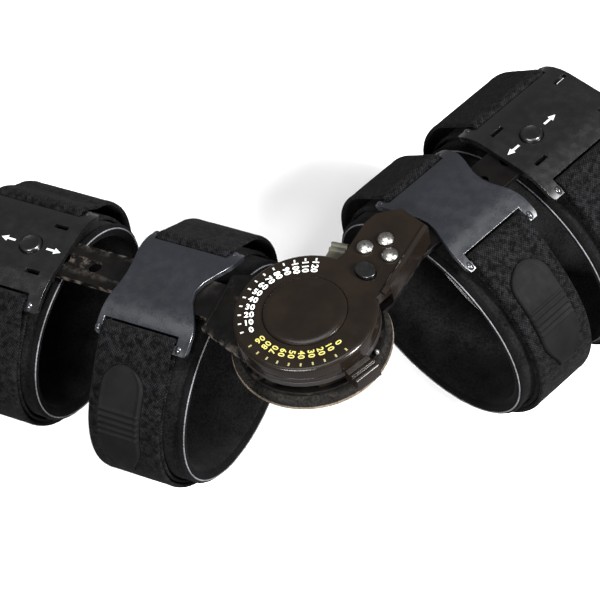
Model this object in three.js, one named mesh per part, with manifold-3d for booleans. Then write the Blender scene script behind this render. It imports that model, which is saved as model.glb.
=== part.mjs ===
// Elbow brace with a dial hinge and two bars on one side of the arm.
// Millimetres, +Z up. The hinge axis is +Z and the dial faces up. The origin lies on the hinge axis,
// on the face of the hinge pad that touches the elbow. The forearm runs along -X.
import * as THREE from 'three';
import { mergeVertices } from 'three/addons/utils/BufferGeometryUtils.js';
import Module from 'manifold-3d';

const wasm = await Module();
wasm.setup();

// General clearances
const GAP = 0.3; // between pieces that touch on the real brace
const RUN = 0.35; // round a pin in its hole

// Pose shown: the angle between the two bars, in degrees
const ELBOW_ANGLE = 111.4;

// Hinge stack, from the elbow outwards
const HINGE_PAD_R = 34.5;
const HINGE_PAD_T = 6.4;
const BASE_T = 2;
const BAR_T = 2.5;
const STOP_T = 2.5;
const COVER_T = 5.4;
const CAP_T = 1.3; // how far the cap stands above the cover's face
const CAP_SEAT = 1.2; // how deep it sits in the cover
const DIAL_R = 31; // rim of the cover and the stops
const RIM_ROUND = 1.8;
const RIM_STEP = 1; // from the dial's rim out to the base plate's edge, and in to the wall's
const BASE_R = DIAL_R + RIM_STEP;
const WALL_R = DIAL_R - RIM_STEP; // outer radius of the housing's wall
const CAP_R = 18;
const HEAD_R = DIAL_R - 7; // round head of the forearm bar
const WALL_IN = HEAD_R + 1.2; // inner radius of the housing's wall
// The forearm bar's widened end: its widest place just inside the dial's rim, and its straight end
const FLARE_ROOT = { along: 19, half: DIAL_R * 0.78 };
const FLARE_TIP = { along: 44, half: 15 };
const FLARE_ANGLE = 54; // half the angle about the axis that it keeps clear
const PIN_R = 5;

// Arm of the cover and of the base plate: distance from the axis and place across, on each edge
const ARM_START = BASE_R + RIM_STEP;
const ARM_SHOULDER = 50;
const ARM_CORNER = 56.5;
const ARM_END = 65.7;
const ARM_ROOT_LEFT = 9.8;
const ARM_SHOULDER_LEFT = 15.2;
const ARM_TIP_LEFT = 8.4;
const ARM_ROOT_RIGHT = -17.8;
const ARM_TIP_RIGHT = -7.4;
const NECK_START = DIAL_R - 9;
const RIDGE_START = DIAL_R - 3;
const RIDGE_W = 3.4;
const RIDGE_H = 0.9;
const BASE_EDGE = 1.5; // the base plate's arm is this much narrower on each edge

// Rivets: distance from the axis and place across
const RIVETS = [
  { along: 40.1, across: 4.9 },
  { along: 48.9, across: 1.3 },
  { along: 43.9, across: -6.4 },
];
const RIVET_HEAD_R = 3.7;
const RIVET_HEAD_H = 2.2;
const RIVET_SHANK_R = 2;

// Lock button beside the dial
const LOCK_ALONG = DIAL_R;
const LOCK_ACROSS = -4.7;
const LOCK_L = 10;
const LOCK_W = 7.6;
const LOCK_H = 1.9; // above the cover's face
const LOCK_DEPTH = 3;
const LOCK_TRAVEL = 1.2;

// Grips of the stops, and the stud beside the lower one
// long: how far it reaches past the dial's rim; at: degrees about the axis, from +X
const EXTENSION_GRIP = { width: 7.5, long: 11.5, at: 95 };
const FLEXION_GRIP = { width: 12, long: 10, at: -26 };
const GRIP_H = 6.4;
const GRIP_IN = 1.2; // from the dial's rim to the grip
const GRIP_GROOVE = 0.9;
const GRIP_RIDGE_W = 1;
const STUD_AT = -2;
const STUD_OUT = BASE_R - 0.2;
const STUD_R = 1.2;
const STUD_H = 1.8;

// Bars
const BAR_W = 19;
const BAR_CORNER = 5;
const HOLE_R = 3.4;
const HOLE_PITCH = 16;
const BUTTON_AT = 137; // distance of the outer cuff's button from the hinge axis
const HOLES_BEFORE = 2;
const HOLES_AFTER = 2;
const BAR_MARGIN = 2.6; // from the last hole's edge to the bar's end
const BAR_END = BUTTON_AT + HOLES_AFTER * HOLE_PITCH + HOLE_R + BAR_MARGIN;

// Cuffs: saddle plates that hold the bar in a channel
const CUFF_T = 2.6;
const CUFF_FLAT = 11; // half width of the flat top
const CUFF_BEND_R = 26;
const CUFF_REACH = 29.5; // from the middle to the strap bar's outer edge, along the saddle
const SLOT_W = 3.8;
const STRAP_BAR_W = 3.7;
const SLOT_END = 0.6; // slot past each edge of the strap
const RAIL_T = 2;
const RAIL_FOOT = 2.6; // how far a rail reaches under the bar
const RAIL_FOOT_T = 1.5;
const SMALL_SLOT_L = 7;
const SMALL_SLOT_W = 2.2;
const SMALL_SLOT_ACROSS = 13.1; // along the saddle
const SMALL_SLOT_IN = 8.3; // from the button towards the hinge
const SMALL_SLOT_OUT = 32.5; // from the button towards the far end
const BUTTON_R = 5.2;
const BUTTON_H = 1.8; // above the cuff
const BUTTON_TRAVEL = 1.5;

// Soft parts
const PAD_T = 6;
const SKIN_DROP = 0.9; // how far the arm's top line lies above the hinge pad's face
const STRAP_T = 2;
const PLY_GAP = 0.5; // between the two layers of a strap
const FAR_BOW = 4.5; // how far a strap bows out below the slot on the arm's far side
const TAB_T = 1.6;

// The four places where the brace goes round the arm. half_w and half_h are the arm's half width
// (across) and half height there; start and end are distances from the hinge axis. A tab has its
// distance below the strap bar, length, width and middle.
const STATIONS = [
  {
    name: 'forearm_inner', arm: 'forearm', half_w: 48.5, half_h: 40, cuff: [45, 90], waist: [9, 2],
    pad: [43, 88], strap: [51.5, 86.5], outer: false, tab: [9, 54, 21, 71],
  },
  {
    name: 'forearm_outer', arm: 'forearm', half_w: 43, half_h: 36, cuff: [119, 175], waist: [0, 0],
    pad: [120, 174], strap: [126, 170], outer: true, tab: [9, 54, 21, 148],
  },
  {
    name: 'upper_inner', arm: 'upper', half_w: 51.5, half_h: 47, cuff: [66.5, 109.5], waist: [5, 5],
    pad: [64, 105], strap: [71, 103.5], outer: false, tab: [9, 54, 21, 87],
  },
  {
    name: 'upper_outer', arm: 'upper', half_w: 53, half_h: 49, cuff: [119, 175], waist: [0, 0],
    pad: [120, 174], strap: [126, 170], outer: true, tab: [9, 54, 21, 148],
  },
];

// Heights worked out from the stack
const BASE_Z = HINGE_PAD_T + GAP;
const BAR_Z = BASE_Z + BASE_T + GAP;
const EXTENSION_Z = BAR_Z + BAR_T + GAP;
const FLEXION_Z = EXTENSION_Z + STOP_T + GAP;
const COVER_Z = FLEXION_Z + STOP_T + GAP;
const ARM_TOP = COVER_Z + COVER_T;
const CUFF_Z = BAR_Z + BAR_T + GAP;

// Row angle past which the widened forearm bar never comes, with the arm straight
const FLARE_CLEAR = 180 + (180 - ELBOW_ANGLE) + FLARE_ANGLE;

const deg = THREE.MathUtils.degToRad;

// Materials, one per kind of surface
function paint(color, roughness, metalness) {
  return () => new THREE.MeshStandardMaterial({ color, roughness, metalness });
}
const glossBlack = paint(0x17130f, 0.25, 0.1);
const barSteel = paint(0x1d1815, 0.35, 0.7);
const cuffPlastic = paint(0x2b3038, 0.45, 0);
const outerPlastic = paint(0x121214, 0.5, 0);
const silver = paint(0xa9a9a6, 0.3, 1);
const webbing = paint(0x0e0e10, 0.95, 0);
const padFabric = paint(0x17171a, 0.98, 0);
const tabRubber = paint(0x1b1b1d, 0.7, 0);
const gripOlive = paint(0x35342c, 0.5, 0);

// Turns a geometry into a manifold solid and back
function toSolid(geometry) {
  const g = geometry.clone();
  for (const name of ['normal', 'uv']) {
    if (g.attributes[name]) g.deleteAttribute(name);
  }
  const m = mergeVertices(g, 1e-4);
  const mesh = new wasm.Mesh({
    numProp: 3,
    vertProperties: Float32Array.from(m.attributes.position.array),
    triVerts: Uint32Array.from(m.index.array),
  });
  return new wasm.Manifold(mesh);
}

function fromSolid(solid) {
  const mesh = solid.getMesh();
  const g = new THREE.BufferGeometry();
  g.setAttribute('position', new THREE.BufferAttribute(Float32Array.from(mesh.vertProperties), 3));
  g.setIndex(Array.from(mesh.triVerts));
  return g;
}

function join(base, ...others) {
  let solid = toSolid(base);
  for (const other of others) solid = solid.add(toSolid(other));
  return fromSolid(solid);
}

function cut(base, ...tools) {
  let solid = toSolid(base);
  for (const tool of tools) solid = solid.subtract(toSolid(tool));
  return fromSolid(solid);
}

// Closed body from vertices and triangles, with its faces turned outwards
function closedBody(points, faces) {
  let volume = 0;
  const cross = new THREE.Vector3();
  for (const [a, b, c] of faces) {
    volume += points[a].dot(cross.crossVectors(points[b], points[c]));
  }
  const index = faces.flatMap(([a, b, c]) => (volume > 0 ? [a, b, c] : [a, c, b]));
  const g = new THREE.BufferGeometry();
  const flat = points.flatMap((p) => [p.x, p.y, p.z]);
  g.setAttribute('position', new THREE.BufferAttribute(new Float32Array(flat), 3));
  g.setIndex(index);
  return g;
}

// Flat outline in x and y, raised from z0 to z1, with round holes
function plate(shape, z0, z1, holes = [], segments = 12) {
  for (const h of holes) {
    const ring = new THREE.Path();
    ring.absarc(h.x, h.y, h.r, 0, 2 * Math.PI, true);
    shape.holes.push(ring);
  }
  const settings = { depth: z1 - z0, bevelEnabled: false, curveSegments: segments };
  return new THREE.ExtrudeGeometry(shape, settings).translate(0, 0, z0);
}

// Outline in y and z, run along x from x0 to x1
function profile(points, x0, x1) {
  const shape = new THREE.Shape(points);
  const g = new THREE.ExtrudeGeometry(shape, { depth: x1 - x0, bevelEnabled: false });
  const turn = new THREE.Matrix4().set(0, 0, 1, x0, 1, 0, 0, 0, 0, 1, 0, 0, 0, 0, 0, 1);
  return g.applyMatrix4(turn);
}

function block(x0, x1, y0, y1, z0, z1) {
  const g = new THREE.BoxGeometry(x1 - x0, y1 - y0, z1 - z0);
  return g.translate((x0 + x1) / 2, (y0 + y1) / 2, (z0 + z1) / 2);
}

function discShape(radius) {
  const shape = new THREE.Shape();
  shape.absarc(0, 0, radius, 0, 2 * Math.PI, false);
  return shape;
}

function lathe(profilePoints, segments) {
  const points = profilePoints.map(([r, z]) => new THREE.Vector2(r, z));
  return new THREE.LatheGeometry(points, segments).rotateX(Math.PI / 2);
}

// Line of the saddle's underside across the arm: flat in the middle, then bent down on both sides.
// q is the distance along it from the middle, lift the height above it.
function saddlePoint(q, lift) {
  const side = Math.sign(q);
  const past = Math.max(Math.abs(q) - CUFF_FLAT, 0);
  const a = past / CUFF_BEND_R;
  const flat = Math.min(Math.abs(q), CUFF_FLAT);
  const r = CUFF_BEND_R + lift;
  return new THREE.Vector2(
    side * (flat + r * Math.sin(a)),
    CUFF_Z + lift - r * (1 - Math.cos(a)),
  );
}

// Line round the arm at a distance outside the arm's surface. phi is measured from the top.
function armPoint(station, phi, lift) {
  return new THREE.Vector2(
    (station.half_w + lift) * Math.sin(phi),
    SKIN_DROP - station.half_h + (station.half_h + lift) * Math.cos(phi),
  );
}

// Slab that follows a line across the arm. line(u, lift) gives y and z, edges(u) the two ends along x.
function wrappedSlab(line, edges, uValues, columns, lift0, lift1) {
  const points = [];
  const faces = [];
  const at = (i, j, k) => (i * (columns + 1) + j) * 2 + k;
  for (const u of uValues) {
    const [x0, x1] = edges(u);
    for (let j = 0; j <= columns; j += 1) {
      const x = x0 + ((x1 - x0) * j) / columns;
      for (const lift of [lift0, lift1]) {
        const p = line(u, lift);
        points.push(new THREE.Vector3(x, p.x, p.y));
      }
    }
  }
  const quad = (a, b, c, d) => faces.push([a, b, c], [a, c, d]);
  const rows = uValues.length - 1;
  for (let i = 0; i < rows; i += 1) {
    for (let j = 0; j < columns; j += 1) {
      quad(at(i, j, 1), at(i, j + 1, 1), at(i + 1, j + 1, 1), at(i + 1, j, 1));
      quad(at(i, j, 0), at(i + 1, j, 0), at(i + 1, j + 1, 0), at(i, j + 1, 0));
    }
    quad(at(i, 0, 0), at(i, 0, 1), at(i + 1, 0, 1), at(i + 1, 0, 0));
    quad(at(i, columns, 0), at(i + 1, columns, 0), at(i + 1, columns, 1), at(i, columns, 1));
  }
  for (let j = 0; j < columns; j += 1) {
    quad(at(0, j, 0), at(0, j + 1, 0), at(0, j + 1, 1), at(0, j, 1));
    quad(at(rows, j, 0), at(rows, j, 1), at(rows, j + 1, 1), at(rows, j + 1, 0));
  }
  return closedBody(points, faces);
}

function steps(from, to, count) {
  return Array.from({ length: count + 1 }, (_, i) => from + ((to - from) * i) / count);
}

// Hinge
function hingePad() {
  const edge = 1.6;
  const top = HINGE_PAD_T;
  return lathe([
    [0, 0], [HINGE_PAD_R - edge, 0], [HINGE_PAD_R, edge], [HINGE_PAD_R, top - edge],
    [HINGE_PAD_R - edge, top], [0, top],
  ], 48);
}

// Arm outline of the cover, narrowed by inset on each long edge
function armOutline(start, inset) {
  const right = ARM_ROOT_RIGHT + inset;
  const left = ARM_ROOT_LEFT - inset;
  const neck = start < ARM_START;
  const points = [
    ...(neck ? [[start, right]] : []),
    [ARM_START, right],
    [ARM_END, ARM_TIP_RIGHT + inset],
    [ARM_END, ARM_TIP_LEFT - inset],
    [ARM_CORNER, ARM_SHOULDER_LEFT - inset],
    [ARM_SHOULDER, ARM_SHOULDER_LEFT - inset],
    [ARM_START, left],
    ...(neck ? [[start, left]] : []),
  ];
  return new THREE.Shape(points.map(([x, y]) => new THREE.Vector2(x, y)));
}

function rivetHoles(radius) {
  return RIVETS.map((r) => ({ x: r.along, y: r.across, r: radius }));
}

function basePlate() {
  const disc = plate(discShape(BASE_R), BASE_Z, BASE_Z + BASE_T, [], 22);
  const arm = plate(armOutline(NECK_START, BASE_EDGE), BASE_Z, BASE_Z + BASE_T);
  const shanks = RIVETS.map((r) => shankHole(r, BASE_Z, BASE_Z + BASE_T));
  return cut(join(disc, arm), ...shanks);
}

// Round cover over the hinge, whose face carries the scales, with its arm to the rivets and a ridge
// along the arm's right edge
function keyholeCover() {
  const top = ARM_TOP;
  const disc = lathe([
    [0, COVER_Z], [DIAL_R, COVER_Z], [DIAL_R, top - RIM_ROUND],
    [DIAL_R - RIM_ROUND * 0.3, top - RIM_ROUND * 0.3], [DIAL_R - RIM_ROUND, top], [0, top],
  ], 56);
  const neck = plate(armOutline(NECK_START, 0), COVER_Z, top);
  const arm = plate(armOutline(ARM_START, 0), EXTENSION_Z, top);
  const shanks = RIVETS.map((r) => shankHole(r, EXTENSION_Z, top));
  const well = plate(ovalShape(RUN), top - LOCK_DEPTH, top + 1, [], 8);
  const seat = plate(discShape(CAP_R + GAP), top - CAP_SEAT - GAP, top + 1, [], 20);
  return cut(join(disc, neck, arm, ridge()), ...shanks, well, seat);
}

function shankHole(place, z0, z1) {
  const r = RIVET_SHANK_R + RUN;
  const g = new THREE.CylinderGeometry(r, r, z1 - z0 + 2, 10).rotateX(Math.PI / 2);
  return g.translate(place.along, place.across, (z0 + z1) / 2);
}

// Raised lip along the right edge of the cover's arm
function ridge() {
  const root = new THREE.Vector2(ARM_START, ARM_ROOT_RIGHT);
  const tip = new THREE.Vector2(ARM_END, ARM_TIP_RIGHT);
  const run = new THREE.Vector2().subVectors(tip, root);
  const back = ((ARM_START - RIDGE_START) * run.length()) / run.x;
  const w = RIDGE_W;
  const low = ARM_TOP - RIDGE_H;
  const high = ARM_TOP + RIDGE_H;
  const side = ARM_TOP + RIDGE_H * 0.4;
  const section = [[0, low], [w, low], [w * 0.75, side], [w * 0.45, high], [w * 0.2, side], [0, ARM_TOP]];
  const g = profile(section.map(([y, z]) => new THREE.Vector2(y, z)), -back, run.length());
  return g.rotateZ(run.angle()).translate(root.x, root.y, 0);
}

function ovalShape(grow) {
  const shape = new THREE.Shape();
  shape.absellipse(LOCK_ALONG, LOCK_ACROSS, LOCK_W / 2 + grow, LOCK_L / 2 + grow, 0, 2 * Math.PI, false, 0);
  return shape;
}

function lockButton() {
  return plate(ovalShape(0), ARM_TOP - LOCK_DEPTH + LOCK_TRAVEL + GAP, ARM_TOP + LOCK_H, [], 8);
}

function rivet(place) {
  const top = ARM_TOP + GAP;
  const foot = BASE_Z + GAP;
  const rise = RIVET_HEAD_H;
  const g = lathe([
    [0, foot], [RIVET_SHANK_R, foot], [RIVET_SHANK_R, top], [RIVET_HEAD_R, top],
    [RIVET_HEAD_R * 0.94, top + rise * 0.45], [RIVET_HEAD_R * 0.68, top + rise * 0.8],
    [RIVET_HEAD_R * 0.35, top + rise * 0.96], [0, top + rise],
  ], 14);
  return g.translate(place.along, place.across, 0);
}

function pivotPin() {
  const foot = BASE_Z + BASE_T + GAP;
  return lathe([[0, foot], [PIN_R, foot], [PIN_R, COVER_Z - GAP], [0, COVER_Z - GAP]], 20);
}

// Wall of the housing beside the bars, on the side where neither bar passes
function hingeWall(upperAt) {
  const from = deg(FLARE_CLEAR - 360);
  const to = deg(upperAt - 26);
  const shape = new THREE.Shape();
  shape.absarc(0, 0, WALL_R, from, to, false);
  shape.absarc(0, 0, WALL_IN, to, from, true);
  shape.closePath();
  return plate(shape, BAR_Z, BAR_Z + BAR_T, [], 14);
}

// Stop disc with its grip past the rim. Two grooves run across the grip's top, along the rim.
function stopDisc(z, grip) {
  const ring = plate(discShape(DIAL_R), z, z + STOP_T, [{ x: 0, y: 0, r: PIN_R + RUN }], 20);
  const half = grip.width / 2;
  const end = DIAL_R + grip.long;
  const web = block(HEAD_R, end - 2, 1 - half, half - 1, z, z + STOP_T);
  const low = EXTENSION_Z;
  const high = low + GRIP_H;
  const start = DIAL_R + GRIP_IN;
  const ribs = [0, 1].flatMap((k) => {
    const out = end - GRIP_GROOVE - k * 3 * GRIP_RIDGE_W;
    return [
      [out, high], [out - GRIP_RIDGE_W, high], [out - 1.6 * GRIP_RIDGE_W, high - GRIP_GROOVE],
      [out - 2.4 * GRIP_RIDGE_W, high - GRIP_GROOVE],
    ];
  });
  const section = [[start, low], [end, low], [end, high - GRIP_GROOVE], ...ribs];
  section.push([start + GRIP_GROOVE, high], [start, high - GRIP_GROOVE]);
  const shape = new THREE.Shape(section.map(([x, zz]) => new THREE.Vector2(x, zz)));
  const body = new THREE.ExtrudeGeometry(shape, { depth: grip.width, bevelEnabled: false });
  body.rotateX(Math.PI / 2).translate(0, half, 0);
  return join(ring, web, body).rotateZ(deg(grip.at));
}

function centreCap() {
  const low = ARM_TOP - CAP_SEAT;
  const top = ARM_TOP + CAP_T;
  return lathe([
    [0, low], [CAP_R, low], [CAP_R, top - 0.9], [CAP_R - 0.9, top - 0.15], [CAP_R - 3, top], [0, top],
  ], 40);
}

// Small round head on the base plate's edge
function stud() {
  const g = lathe([[0, 0], [STUD_R, 0], [STUD_R, STUD_H * 0.5], [STUD_R * 0.6, STUD_H], [0, STUD_H]], 10);
  return g.translate(STUD_OUT, 0, BASE_Z + BASE_T + GAP).rotateZ(deg(STUD_AT));
}

// Bars
function barHoles() {
  return steps(-HOLES_BEFORE, HOLES_AFTER, HOLES_BEFORE + HOLES_AFTER)
    .map((k) => ({ x: BUTTON_AT + k * HOLE_PITCH, y: 0, r: HOLE_R }));
}

function barShape(start) {
  const half = BAR_W / 2;
  const corner = BAR_CORNER;
  const shape = new THREE.Shape();
  shape.moveTo(start, -half);
  shape.lineTo(BAR_END - corner, -half);
  shape.absarc(BAR_END - corner, -half + corner, corner, -Math.PI / 2, 0, false);
  shape.absarc(BAR_END - corner, half - corner, corner, 0, Math.PI / 2, false);
  shape.lineTo(start, half);
  shape.closePath();
  return shape;
}

// The forearm bar widens into a plate at the hinge, with a straight end
function forearmBar() {
  const z1 = BAR_Z + BAR_T;
  const strip = plate(barShape(HEAD_R / 2), BAR_Z, z1, barHoles(), 6);
  const root = FLARE_ROOT;
  const tip = FLARE_TIP;
  const neck = { along: HEAD_R * 0.6, half: HEAD_R * 0.7 };
  const right = [neck, root, tip].map((p) => new THREE.Vector2(p.along, -p.half));
  const left = [tip, root, neck].map((p) => new THREE.Vector2(p.along, p.half));
  const flare = new THREE.Shape([...right, ...left]);
  const head = plate(discShape(HEAD_R), BAR_Z, z1, [], 18);
  const bore = new THREE.CylinderGeometry(PIN_R + RUN, PIN_R + RUN, 3 * BAR_T, 20).rotateX(Math.PI / 2);
  const body = join(head, strip, plate(flare, BAR_Z, z1));
  return cut(body, bore.translate(0, 0, BAR_Z + BAR_T / 2));
}

function upperBar() {
  const z1 = BAR_Z + BAR_T;
  const shanks = rivetHoles(RIVET_SHANK_R + RUN);
  const strip = plate(barShape(HEAD_R - 6), BAR_Z, z1, [...barHoles(), ...shanks], 6);
  const head = plate(discShape(HEAD_R + 1.5), BAR_Z - 1, z1 + 1, [], 18);
  return cut(strip, head);
}

// Cuffs
function cuffEdges(station) {
  const [start, end] = station.cuff;
  const [dipIn, dipOut] = station.waist;
  return (q) => {
    const share = Math.min(Math.abs(q) / (CUFF_REACH * 0.72), 1);
    const dip = 0.5 * (1 + Math.cos(Math.PI * share));
    const corner = Math.max(Math.abs(q) - (CUFF_REACH - 3), 0) / 3;
    const round = 1.6 * (1 - Math.sqrt(Math.max(1 - corner * corner, 0)));
    return [start + dipIn * dip + round, end - dipOut * dip - round];
  };
}

function cuffRows() {
  const flat = [-CUFF_FLAT, -CUFF_FLAT / 2, 0, CUFF_FLAT / 2, CUFF_FLAT];
  const bent = steps(CUFF_FLAT, CUFF_REACH - 3, 5).slice(1);
  const corner = [CUFF_REACH - 1.5, CUFF_REACH - 0.4, CUFF_REACH];
  const side = [...bent, ...corner];
  return [...side.map((q) => -q).reverse(), ...flat, ...side];
}

// Box that cuts through the saddle at distance q from its middle
function saddleCutter(q, width, x0, x1) {
  const a = Math.sign(q) * Math.max(Math.abs(q) - CUFF_FLAT, 0) / CUFF_BEND_R;
  const middle = saddlePoint(q, CUFF_T / 2);
  const g = new THREE.BoxGeometry(x1 - x0, width, 4 * CUFF_T).rotateX(-a);
  return g.translate((x0 + x1) / 2, middle.x, middle.y);
}

function rail(side, x0, x1) {
  const inner = BAR_W / 2 + GAP;
  const outer = inner + RAIL_T;
  const top = CUFF_Z + CUFF_T / 2;
  const low = BAR_Z - GAP - RAIL_FOOT_T;
  const foot = BAR_Z - GAP;
  const points = [
    [inner, top], [inner, foot], [inner - RAIL_FOOT, foot],
    [inner - RAIL_FOOT, low], [outer, low], [outer, top],
  ].map(([y, z]) => new THREE.Vector2(side * y, z));
  return profile(side > 0 ? points.reverse() : points, x0, x1);
}

function cuff(station) {
  const [start, end] = station.cuff;
  const [dipIn, dipOut] = station.waist;
  const saddle = wrappedSlab(saddlePoint, cuffEdges(station), cuffRows(), 1, 0, CUFF_T);
  const rails = [-1, 1].map((side) => rail(side, start + dipIn + 2, end - dipOut - 2));
  const slotAt = CUFF_REACH - STRAP_BAR_W - SLOT_W / 2;
  const slotX = [station.strap[0] - SLOT_END, station.strap[1] + SLOT_END];
  const tools = [-1, 1].map((side) => saddleCutter(side * slotAt, SLOT_W, ...slotX));
  if (station.outer) {
    for (const side of [-1, 1]) {
      for (const along of [-SMALL_SLOT_IN, SMALL_SLOT_OUT]) {
        const x = BUTTON_AT + along;
        const half = SMALL_SLOT_L / 2;
        tools.push(saddleCutter(side * SMALL_SLOT_ACROSS, SMALL_SLOT_W, x - half, x + half));
      }
    }
    const bore = new THREE.CylinderGeometry(BUTTON_R + RUN, BUTTON_R + RUN, 4 * CUFF_T, 20);
    tools.push(bore.rotateX(Math.PI / 2).translate(BUTTON_AT, 0, CUFF_Z + CUFF_T));
  }
  return cut(join(saddle, ...rails), ...tools);
}

function pushButton() {
  const foot = CUFF_Z + BUTTON_TRAVEL;
  const top = CUFF_Z + CUFF_T + BUTTON_H;
  return lathe([
    [0, foot], [BUTTON_R, foot], [BUTTON_R, top - 0.8], [BUTTON_R - 0.9, top],
    [BUTTON_R * 0.5, top - 0.4], [0, top - 0.5],
  ], 20);
}

// Lining that goes round the arm, with round edges
function liningPad(station) {
  const [start, end] = station.pad;
  const edge = 1.8;
  const section = [
    [start + edge, 0], [end - edge, 0], [end, edge], [end, PAD_T - edge],
    [end - edge, PAD_T], [start + edge, PAD_T], [start, PAD_T - edge], [start, edge],
  ];
  const around = 36;
  const points = [];
  const faces = [];
  for (let i = 0; i < around; i += 1) {
    for (const [x, lift] of section) {
      const p = armPoint(station, (2 * Math.PI * i) / around, lift);
      points.push(new THREE.Vector3(x, p.x, p.y));
    }
  }
  const n = section.length;
  for (let i = 0; i < around; i += 1) {
    const next = (i + 1) % around;
    for (let j = 0; j < n; j += 1) {
      const k = (j + 1) % n;
      faces.push([i * n + j, i * n + k, next * n + k], [i * n + j, next * n + k, next * n + j]);
    }
  }
  return closedBody(points, faces);
}

// Middle line of a strap's outer layer on one side, from the strap bar down to the angle phiEnd. bow is
// how far it stands out between the slot and the arm's widest place.
function outerLayer(station, phiEnd, bow) {
  const onPly = PAD_T + GAP + STRAP_T / 2 + STRAP_T + PLY_GAP;
  const above = saddlePoint(CUFF_REACH + 0.6, CUFF_T + GAP + STRAP_T / 2);
  const first = deg(bow > 0 ? 40 : 50);
  const outer = steps(first, phiEnd, Math.max(Math.round((phiEnd - first) / deg(9)), 2)).map((phi) => {
    const share = THREE.MathUtils.clamp((phi - deg(20)) / deg(70), 0, 1);
    return armPoint(station, phi, onPly + bow * Math.sin(Math.PI * share));
  });
  return [above, ...outer];
}

// Middle line of a strap on one side: out of the layer on the pad, through the slot, round the strap
// bar and down again as the outer layer
function strapSide(station, side, phiEnd, bow) {
  const half = STRAP_T / 2;
  const turnAt = CUFF_REACH - STRAP_BAR_W + 0.4;
  const radius = CUFF_T / 2 + GAP + half;
  const a = (turnAt - CUFF_FLAT) / CUFF_BEND_R;
  const centre = saddlePoint(turnAt, CUFF_T / 2);
  const under = new THREE.Vector2(-Math.sin(a), -Math.cos(a));
  const inward = new THREE.Vector2(-Math.cos(a), Math.sin(a));
  const turn = steps(0, Math.PI, 6).map((w) => new THREE.Vector2()
    .addScaledVector(under, radius * Math.cos(w))
    .addScaledVector(inward, radius * Math.sin(w))
    .add(centre));
  const start = armPoint(station, deg(44), PAD_T + GAP + half);
  const below = saddlePoint(CUFF_REACH, -GAP - half);
  const line = [start, below, ...turn, ...outerLayer(station, phiEnd, bow)];
  return line.map((p) => new THREE.Vector2(side * p.x, p.y));
}

function strap(station, visible) {
  const near = strapSide(station, visible, deg(150), 0).reverse();
  const far = strapSide(station, -visible, deg(100), FAR_BOW);
  const around = steps(deg(52), deg(308), 26).map((phi) => {
    const p = armPoint(station, phi, PAD_T + GAP + STRAP_T / 2);
    return new THREE.Vector2(visible * p.x, p.y);
  });
  return profile(thicken([...near, ...around, ...far], STRAP_T), ...station.strap);
}

function lineNormals(line) {
  return line.map((p, i) => {
    const before = line[Math.max(i - 1, 0)];
    const after = line[Math.min(i + 1, line.length - 1)];
    const along = new THREE.Vector2().subVectors(after, before).normalize();
    return new THREE.Vector2(-along.y, along.x);
  });
}

// Closed outline of a line with a thickness
function thicken(line, thickness) {
  const normals = lineNormals(line);
  const edge = (lift) => line.map((p, i) => p.clone().addScaledVector(normals[i], lift));
  return [...edge(thickness / 2), ...edge(-thickness / 2).reverse()];
}

// Thumb tab on the strap's outer layer, whose line it follows: round at its upper end, tapered at its
// lower end
function thumbTab(station, visible) {
  const [from, length, width, middle] = station.tab;
  const layer = outerLayer(station, deg(150), 0);
  const normals = lineNormals(layer);
  const marks = [0];
  for (let i = 1; i < layer.length; i += 1) marks.push(marks[i - 1] + layer[i].distanceTo(layer[i - 1]));
  const line = (s, out) => {
    const i = marks.findIndex((m) => m >= s);
    const share = (s - marks[i - 1]) / (marks[i] - marks[i - 1]);
    const p = layer[i - 1].clone().lerp(layer[i], share);
    const normal = normals[i - 1].clone().lerp(normals[i], share).normalize();
    return p.addScaledVector(normal, out).multiply(new THREE.Vector2(visible, 1));
  };
  const edges = (s) => {
    const u = (s - from) / length;
    const head = Math.sqrt(Math.max(1 - ((0.2 - Math.min(u, 0.2)) / 0.2) ** 2, 0));
    const taper = 1 - 0.55 * THREE.MathUtils.smoothstep(u, 0.7, 1);
    const half = (width / 2) * Math.max(head * taper, 0.12);
    return [middle - half, middle + half];
  };
  const bends = marks.filter((m) => m > from + 1 && m < from + length - 1);
  const rounds = [0, 0.02, 0.06, 0.12, 0.2, 0.35, 0.5, 0.62, 0.74, 0.86, 0.95, 1]
    .map((u) => from + u * length)
    .filter((s) => bends.every((m) => Math.abs(m - s) > 0.5));
  const rows = [...rounds, ...bends].sort((a, b) => a - b);
  const under = STRAP_T / 2 + GAP;
  return wrappedSlab(line, edges, rows, 1, under, under + TAB_T);
}

function named(name, geometry, material) {
  const mesh = new THREE.Mesh(geometry, material());
  mesh.name = name;
  return mesh;
}

const brace = new THREE.Group();
const upperAt = 180 - ELBOW_ANGLE;
const arms = {
  forearm: { group: new THREE.Group(), turn: 180, visible: 1 },
  upper: { group: new THREE.Group(), turn: upperAt, visible: -1 },
};
for (const arm of Object.values(arms)) {
  arm.group.rotation.z = deg(arm.turn);
  brace.add(arm.group);
}

brace.add(
  named('hinge_pad', hingePad(), padFabric),
  named('pivot_pin', pivotPin(), silver),
  named('hinge_wall', hingeWall(upperAt), glossBlack),
  named('extension_stop', stopDisc(EXTENSION_Z, EXTENSION_GRIP), gripOlive),
  named('flexion_stop', stopDisc(FLEXION_Z, FLEXION_GRIP), glossBlack),
  named('centre_cap', centreCap(), glossBlack),
  named('hinge_stud', stud(), silver),
);
arms.upper.group.add(
  named('base_plate', basePlate(), barSteel),
  named('keyhole_cover', keyholeCover(), glossBlack),
  named('lock_button', lockButton(), outerPlastic),
  named('upper_bar', upperBar(), barSteel),
);
arms.forearm.group.add(named('forearm_bar', forearmBar(), barSteel));
RIVETS.forEach((place, i) => arms.upper.group.add(named(`rivet_${i + 1}`, rivet(place), silver)));

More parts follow.
